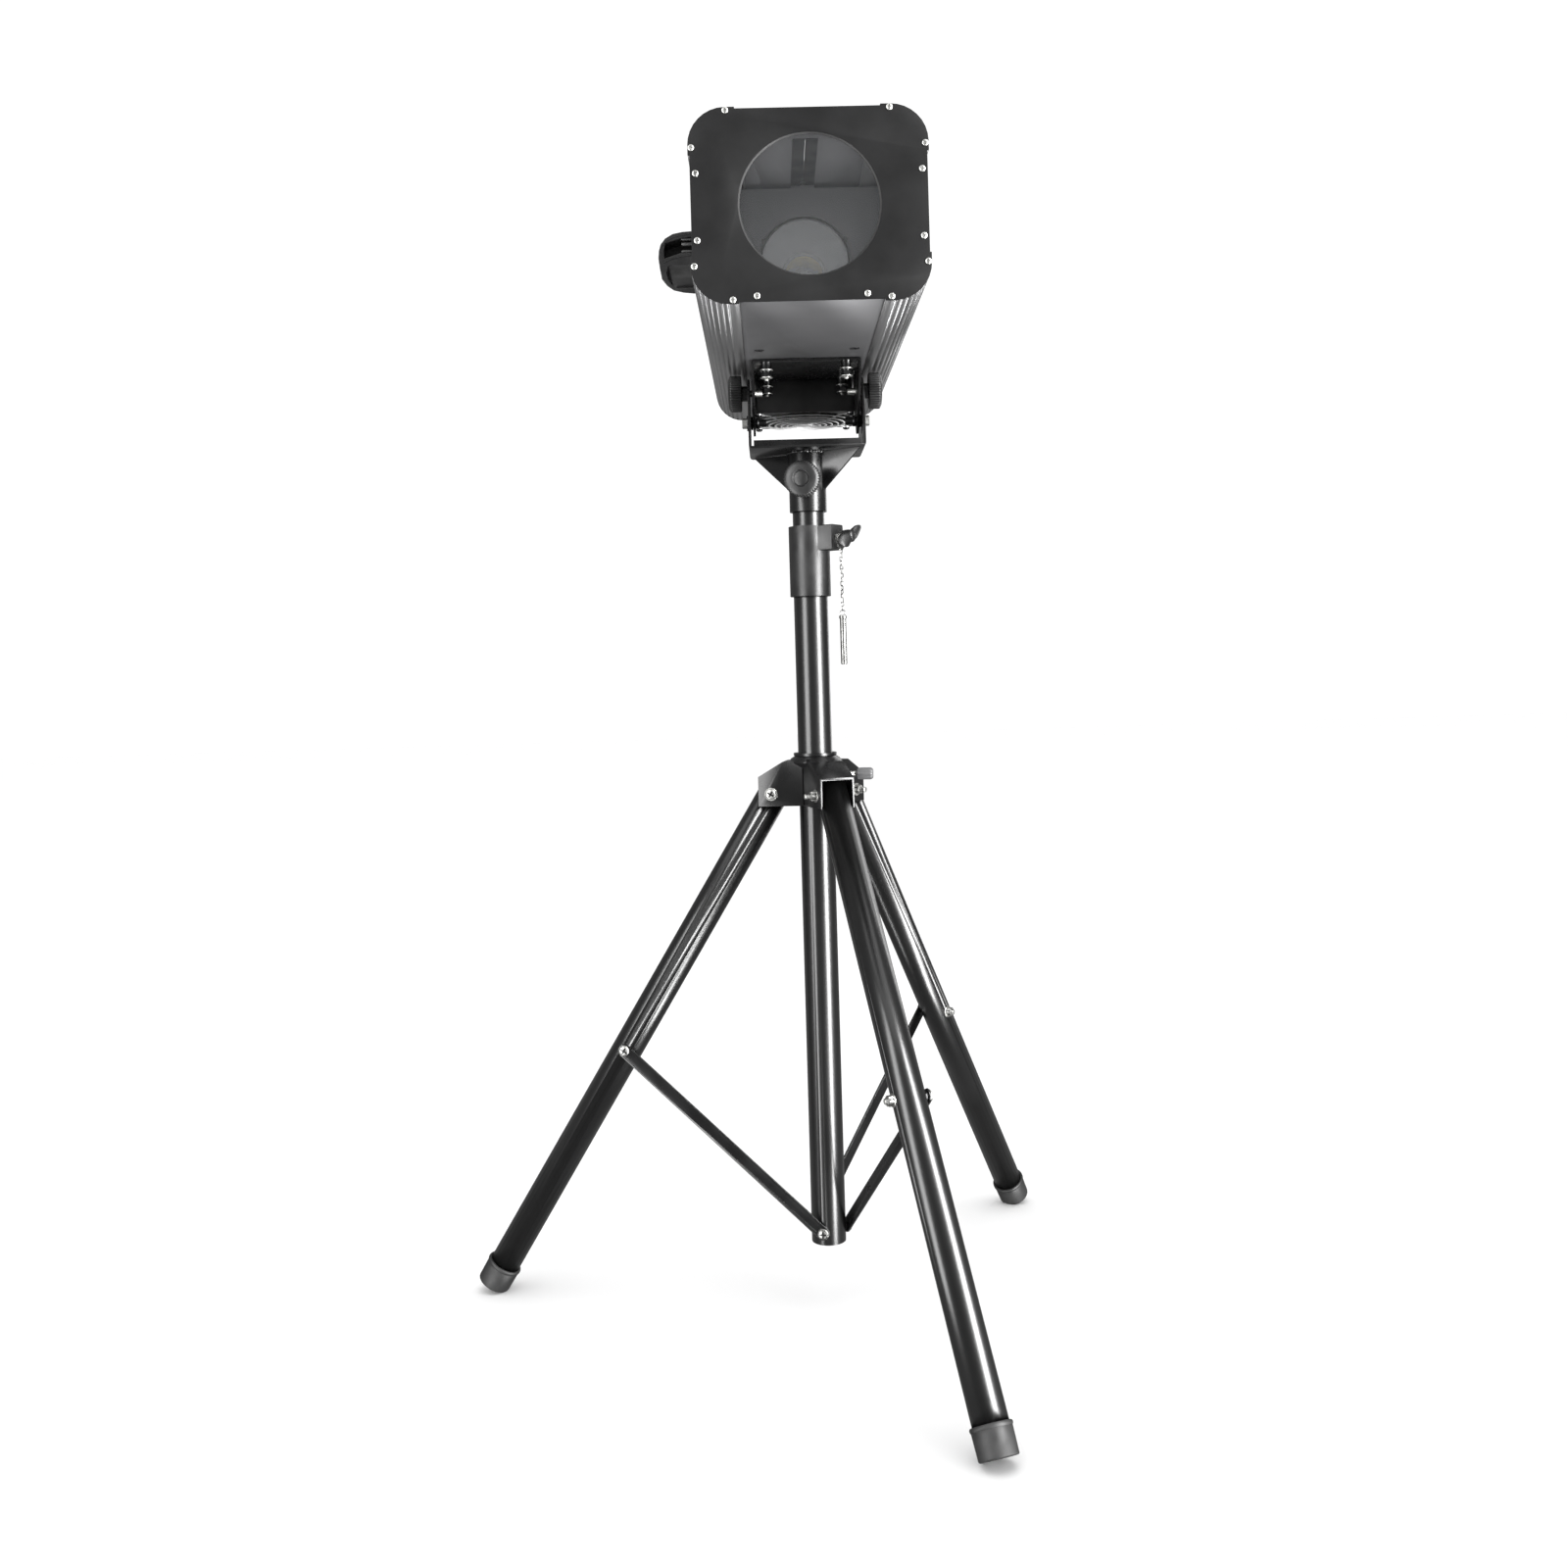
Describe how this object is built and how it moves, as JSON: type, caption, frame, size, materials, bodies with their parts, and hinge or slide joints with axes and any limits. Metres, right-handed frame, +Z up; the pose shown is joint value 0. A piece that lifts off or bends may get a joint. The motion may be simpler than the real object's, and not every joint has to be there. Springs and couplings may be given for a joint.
{
  "type": "follow spot",
  "caption": "Long box-shaped LED follow spot with a tilt yoke on a telescopic column and a folding tripod stand.",
  "frame": {"origin": "on the floor, under the middle of the whole object's box", "axes": "+Z up along the column; the lamp points along -Y; +X is to the right when one looks at the lens from behind the camera in front of it"},
  "size_m": [0.671, 0.7046, 1.2277],
  "materials": {
    "tube_black": "glossy black powder coat",
    "bracket_black": "semi-gloss black powder coat on pressed steel",
    "casing_anodised": "dark anodised aluminium extrusion and sheet",
    "plate_black": "satin black paint on sheet steel",
    "knob_plastic": "moulded black nylon",
    "grey_plastic": "grey moulded plastic",
    "zinc_steel": "bright zinc-plated steel",
    "raw_aluminium": "bare aluminium",
    "inner_plate": "dark grey sheet aluminium",
    "lens_glass": "coated optical glass",
    "foot_rubber": "matt black rubber",
    "display_glass": "smoked display window"
  },
  "bodies": {
    "column": {"column_tube": "tube_black", "clamp_sleeve": "bracket_black", "hitch_ring": "zinc_steel"},
    "wing_knob": {"wing_knob": "knob_plastic"},
    "chain": {"pin_chain": "zinc_steel"},
    "locking_pin": {"locking_pin": "zinc_steel"},
    "pole": {"pole": "tube_black"},
    "yoke": {"yoke": "bracket_black", "pan_socket": "bracket_black"},
    "pan_knob": {"pan_knob": "knob_plastic"},
    "head": {"front_plate": "plate_black", "front_lens": "lens_glass", "rail_top_left": "casing_anodised", "rail_top_right": "casing_anodised", "rail_bottom_left": "casing_anodised", "rail_bottom_right": "casing_anodised", "top_panel": "casing_anodised", "bottom_panel": "casing_anodised", "left_panel": "casing_anodised", "right_panel": "casing_anodised", "rear_panel": "plate_black", "side_handle": "knob_plastic", "iris_plate": "inner_plate", "guide_rail": "raw_aluminium", "lamp_reflector": "raw_aluminium", "heatsink": "raw_aluminium", "power_supply": "raw_aluminium", "fan_frame": "knob_plastic", "fan_guard": "zinc_steel", "display": "display_glass", "switch_housing": "knob_plastic", "power_inlet": "knob_plastic", "signal_in": "zinc_steel", "signal_out": "zinc_steel", "tilt_bracket": "bracket_black", "pivot_bolt_left": "zinc_steel", "pivot_bolt_right": "zinc_steel"},
    "tilt_knob_left": {"tilt_knob_left": "knob_plastic"},
    "tilt_knob_right": {"tilt_knob_right": "knob_plastic"},
    "focus_carriage": {"focus_carriage": "inner_plate", "focus_lens": "lens_glass"},
    "focus_knob": {"focus_knob": "knob_plastic"},
    "iris": {"iris_lever": "knob_plastic"},
    "fan_rotor": {"fan_rotor": "knob_plastic"},
    "power_switch": {"power_switch": "knob_plastic"},
    "collar": {"leg_collar": "bracket_black"},
    "collar_knob": {"collar_knob": "grey_plastic"},
    "button_1": {"button_1": "grey_plastic"},
    "button_2": {"button_2": "grey_plastic"},
    "button_3": {"button_3": "grey_plastic"},
    "button_4": {"button_4": "grey_plastic"},
    "front_leg": {"front_leg": "tube_black", "front_foot": "foot_rubber"},
    "front_brace": {"front_brace": "bracket_black"},
    "rear_leg": {"rear_leg": "tube_black", "rear_foot": "foot_rubber"},
    "rear_brace": {"rear_brace": "bracket_black"},
    "left_leg": {"left_leg": "tube_black", "left_foot": "foot_rubber"},
    "left_brace": {"left_brace": "bracket_black"}
  },
  "joints": [
    {"name": "pole_lift", "type": "slide", "parent": "column", "child": "pole", "axis": [0, 0, 1], "range_m": [0, 0.5]},
    {"name": "wing_knob_turn", "type": "hinge", "parent": "column", "child": "wing_knob", "pos_m": [0.1071, 0.00338, 0.8493], "axis": [0.8192, -0.5736, 0], "range_deg": [0, 360]},
    {"name": "chain_swing", "type": "hinge", "parent": "column", "child": "chain", "pos_m": [0.10014, 0.00826, 0.8352], "axis": [0.8192, -0.5736, 0], "range_deg": [-40, 40]},
    {"name": "locking_pin_swing", "type": "hinge", "parent": "chain", "child": "locking_pin", "pos_m": [0.10014, 0.00826, 0.7689], "axis": [0.8192, -0.5736, 0], "range_deg": [-40, 40]},
    {"name": "pan", "type": "hinge", "parent": "pole", "child": "yoke", "pos_m": [0.06614, 0.03206, 0.8796], "axis": [0, 0, 1], "continuous": true},
    {"name": "pan_knob_turn", "type": "hinge", "parent": "yoke", "child": "pan_knob", "pos_m": [0.06042, -0.00044, 0.9123], "axis": [-0.1736, -0.9848, 0], "range_deg": [0, 360]},
    {"name": "tilt", "type": "hinge", "parent": "yoke", "child": "head", "pos_m": [0.06614, 0.03206, 0.98], "axis": [1, 0, 0], "range_deg": [-30, 45]},
    {"name": "tilt_knob_left_turn", "type": "hinge", "parent": "head", "child": "tilt_knob_left", "pos_m": [-0.00436, 0.03206, 1.013], "axis": [-1, 0, 0], "range_deg": [0, 360]},
    {"name": "tilt_knob_right_turn", "type": "hinge", "parent": "head", "child": "tilt_knob_right", "pos_m": [0.13664, 0.03206, 1.013], "axis": [1, 0, 0], "range_deg": [0, 360]},
    {"name": "focus", "type": "slide", "parent": "head", "child": "focus_carriage", "axis": [0, 1, 0], "range_m": [-0.12, 0.03]},
    {"name": "focus_knob_turn", "type": "hinge", "parent": "focus_carriage", "child": "focus_knob", "pos_m": [0.06614, -0.10194, 1.2097], "axis": [0, 0, 1], "range_deg": [0, 360]},
    {"name": "iris", "type": "hinge", "parent": "head", "child": "iris", "pos_m": [0.06614, -0.05394, 1.1217], "axis": [0, 1, 0], "range_deg": [-20, 20]},
    {"name": "fan_spin", "type": "hinge", "parent": "head", "child": "fan_rotor", "pos_m": [0.06614, 0.12606, 1.0119], "axis": [0, 0, 1], "continuous": true},
    {"name": "button_1_press", "type": "slide", "parent": "head", "child": "button_1", "axis": [0, -1, 0], "range_m": [0, 0.0015], "stiffness_N_per_m": 150},
    {"name": "button_2_press", "type": "slide", "parent": "head", "child": "button_2", "axis": [0, -1, 0], "range_m": [0, 0.0015], "stiffness_N_per_m": 150},
    {"name": "button_3_press", "type": "slide", "parent": "head", "child": "button_3", "axis": [0, -1, 0], "range_m": [0, 0.0015], "stiffness_N_per_m": 150},
    {"name": "button_4_press", "type": "slide", "parent": "head", "child": "button_4", "axis": [0, -1, 0], "range_m": [0, 0.0015], "stiffness_N_per_m": 150},
    {"name": "power_switch_rock", "type": "hinge", "parent": "head", "child": "power_switch", "pos_m": [0.11815, 0.34606, 1.0767], "axis": [1, 0, 0], "range_deg": [-20, 0]},
    {"name": "collar_slide", "type": "slide", "parent": "column", "child": "collar", "axis": [0, 0, 1], "range_m": [0, 0.14395]},
    {"name": "collar_knob_turn", "type": "hinge", "parent": "collar", "child": "collar_knob", "pos_m": [0.11539, 0.02338, 0.5875], "axis": [0.9848, -0.1736, 0], "range_deg": [0, 360]},
    {"name": "front_leg_fold", "type": "hinge", "parent": "collar", "child": "front_leg", "pos_m": [0.08249, -0.01286, 0.5676], "axis": [0.9397, 0.342, 0], "range_deg": [0, 31.61]},
    {"name": "front_brace_fold", "type": "hinge", "parent": "column", "child": "front_brace", "pos_m": [0.06717, 0.02924, 0.0826], "axis": [0.9397, 0.342, 0], "range_deg": [-39.16, 0]},
    {"name": "rear_leg_fold", "type": "hinge", "parent": "collar", "child": "rear_leg", "pos_m": [0.09687, 0.06868, 0.5676], "axis": [-0.766, 0.6428, 0], "range_deg": [0, 31.61]},
    {"name": "rear_brace_fold", "type": "hinge", "parent": "column", "child": "rear_brace", "pos_m": [0.06807, 0.03436, 0.0826], "axis": [-0.766, 0.6428, 0], "range_deg": [-39.16, 0]},
    {"name": "left_leg_fold", "type": "hinge", "parent": "collar", "child": "left_leg", "pos_m": [0.01907, 0.04036, 0.5676], "axis": [-0.1736, -0.9848, 0], "range_deg": [0, 31.61]},
    {"name": "left_brace_fold", "type": "hinge", "parent": "column", "child": "left_brace", "pos_m": [0.06319, 0.03258, 0.0826], "axis": [-0.1736, -0.9848, 0], "range_deg": [-39.16, 0]}
  ],
  "couplings": [
    {"joint": "front_leg_fold", "follows": "collar_slide", "rad_per_m": 3.8314},
    {"joint": "front_brace_fold", "follows": "collar_slide", "rad_per_m": -4.7469},
    {"joint": "rear_leg_fold", "follows": "collar_slide", "rad_per_m": 3.8314},
    {"joint": "rear_brace_fold", "follows": "collar_slide", "rad_per_m": -4.7469},
    {"joint": "left_leg_fold", "follows": "collar_slide", "rad_per_m": 3.8314},
    {"joint": "left_brace_fold", "follows": "collar_slide", "rad_per_m": -4.7469}
  ]
}
